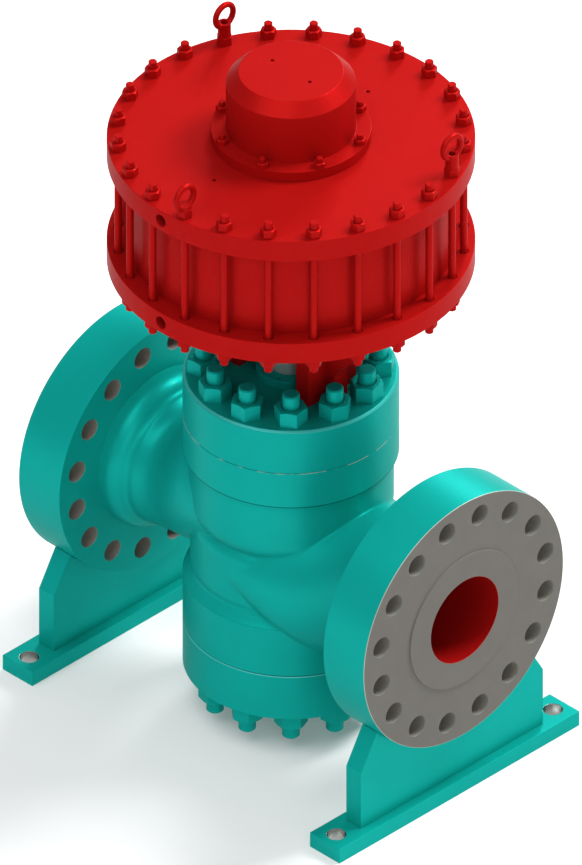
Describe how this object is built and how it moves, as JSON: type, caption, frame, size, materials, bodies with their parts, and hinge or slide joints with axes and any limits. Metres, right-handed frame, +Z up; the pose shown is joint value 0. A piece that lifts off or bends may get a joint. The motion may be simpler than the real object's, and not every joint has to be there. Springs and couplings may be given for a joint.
{
  "type": "shut-off valve",
  "caption": "Flanged globe shut-off valve on two supports, with a bolted bonnet, a yoke and a spring-return pneumatic piston actuator that lifts the stem.",
  "frame": {"origin": "centre of the four foot bolt holes, on the ground under the supports, below the middle of the valve and on the stem's axis", "axes": "+X along the pipe from the inlet to the outlet, +Z up along the stem, and -Y towards the side with the air ports"},
  "size_m": [0.915, 0.6939, 1.428],
  "materials": {
    "teal_paint": "thick semi-gloss turquoise paint",
    "red_paint": "thick semi-gloss red paint",
    "polished_steel": "ground and polished rod",
    "trim_steel": "turned stainless trim",
    "machined_steel": "machined steel",
    "cast_metal": "machined cast iron",
    "spring_steel": "shot-peened spring steel",
    "bronze": "turned bronze",
    "gasket_metal": "spiral-wound gasket",
    "packing": "white fluoropolymer",
    "seal_rubber": "black rubber"
  },
  "bodies": {
    "valve": {"valve_body": "teal_paint", "bonnet": "teal_paint", "bottom_cover": "teal_paint", "bonnet_studs": "teal_paint", "bonnet_nuts": "teal_paint", "cover_studs": "teal_paint", "cover_nuts": "teal_paint", "gland_ring": "teal_paint", "gland_screws": "teal_paint", "inlet_foot_bar": "teal_paint", "outlet_foot_bar": "teal_paint", "inlet_saddle": "teal_paint", "outlet_saddle": "teal_paint", "yoke_leg_inlet": "red_paint", "yoke_leg_outlet": "red_paint", "actuator_bottom_plate": "red_paint", "actuator_top_plate": "red_paint", "cylinder": "red_paint", "tie_rods": "red_paint", "upper_tie_nuts": "red_paint", "lower_tie_nuts": "red_paint", "lifting_eye_right": "red_paint", "lifting_eye_rear": "red_paint", "lifting_eye_front": "red_paint", "cap": "red_paint", "cap_studs": "red_paint", "cap_nuts": "red_paint", "seat_ring": "trim_steel", "cage": "trim_steel", "return_spring": "spring_steel", "stem_bush": "bronze", "rod_bush": "bronze", "bonnet_gasket": "gasket_metal", "cover_gasket": "gasket_metal", "seat_gasket": "gasket_metal", "cage_gasket": "gasket_metal", "packing_rings": "packing", "rod_seal": "seal_rubber", "cylinder_seal_lower": "seal_rubber", "cylinder_seal_upper": "seal_rubber"},
    "stem_group": {"plug": "trim_steel", "plug_seal": "seal_rubber", "plug_nut": "trim_steel", "valve_stem": "polished_steel", "coupling_front": "machined_steel", "coupling_rear": "machined_steel", "coupling_screws": "machined_steel", "actuator_rod": "polished_steel", "piston": "cast_metal", "piston_seal": "seal_rubber", "piston_guide_ring": "packing", "piston_nut": "machined_steel"}
  },
  "joints": [
    {"name": "stem_slide", "type": "slide", "parent": "valve", "child": "stem_group", "axis": [0, 0, 1], "range_m": [0, 0.1], "stiffness_N_per_m": 69000, "springref_m": -0.06, "deforming": ["return_spring"]}
  ]
}
